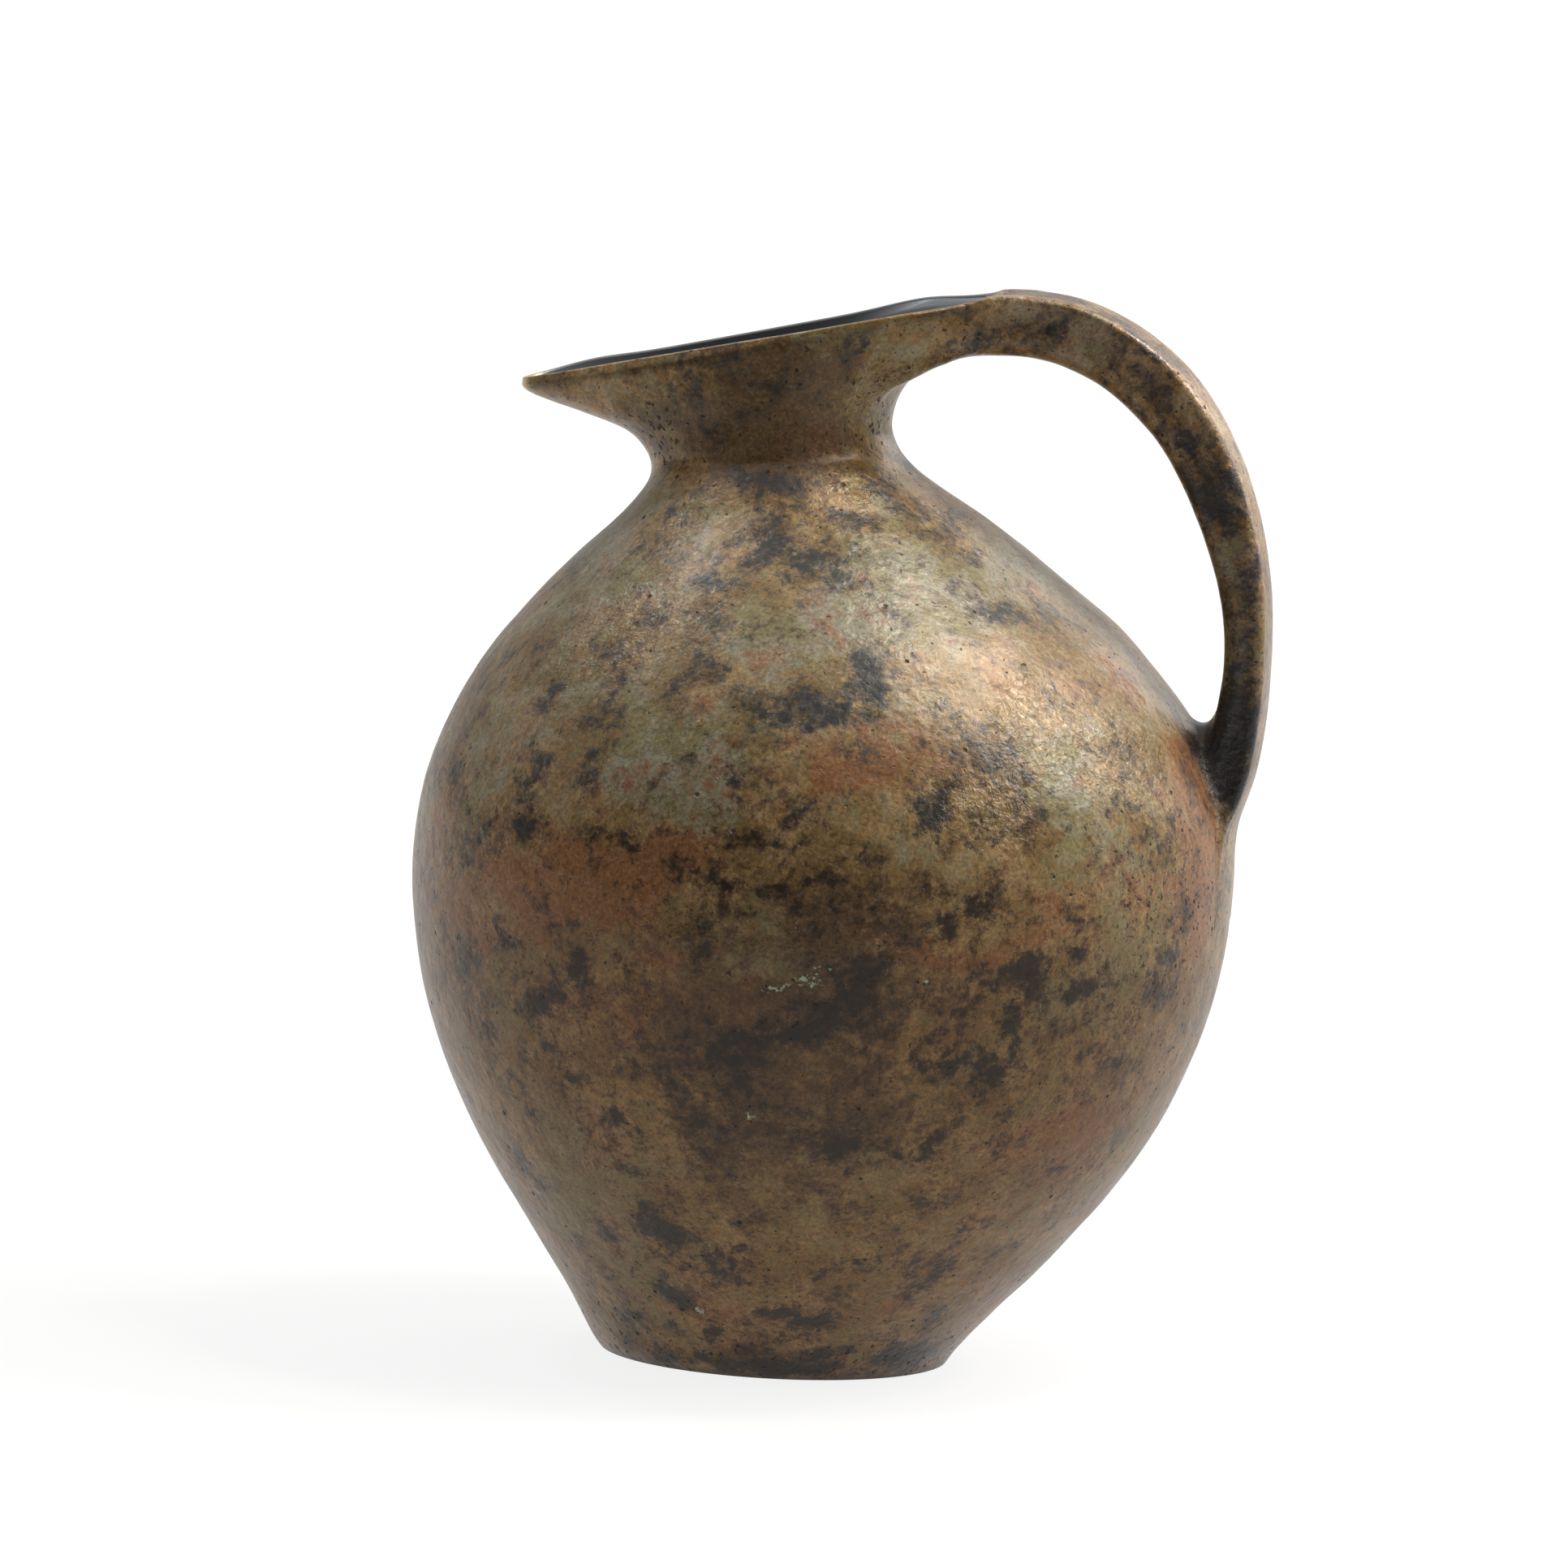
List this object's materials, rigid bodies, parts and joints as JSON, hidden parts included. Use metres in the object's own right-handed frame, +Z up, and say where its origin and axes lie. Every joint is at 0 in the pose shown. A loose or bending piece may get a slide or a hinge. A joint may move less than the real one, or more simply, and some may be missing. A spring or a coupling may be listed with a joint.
{
  "type": "pouring jug",
  "caption": "Cast bronze pilgrim jar: round-bellied pouring jug with a slanted, beaked mouth and a strap handle from rim to shoulder.",
  "frame": {"origin": "centre of the flat underside of the foot, on the surface that the jug stands on", "axes": "+Z up; +X towards the handle, -X towards the spout; +Y is the far side, and the jug is symmetric about y = 0"},
  "size_m": [0.2114, 0.2048, 0.2697],
  "materials": {
    "bronze_foot": "cast bronze, dark brown, matt",
    "bronze_body": "cast bronze with brown, olive and blue-black patina, half gloss",
    "bronze_neck": "cast bronze with dark brown patina, yellow where the lip is worn",
    "bronze_handle": "cast bronze, worn to yellow along its edges"
  },
  "bodies": {
    "root": {"base_plate": "bronze_foot", "lower_body": "bronze_body", "upper_body": "bronze_body", "neck_spout": "bronze_neck", "handle": "bronze_handle"}
  },
  "joints": []
}
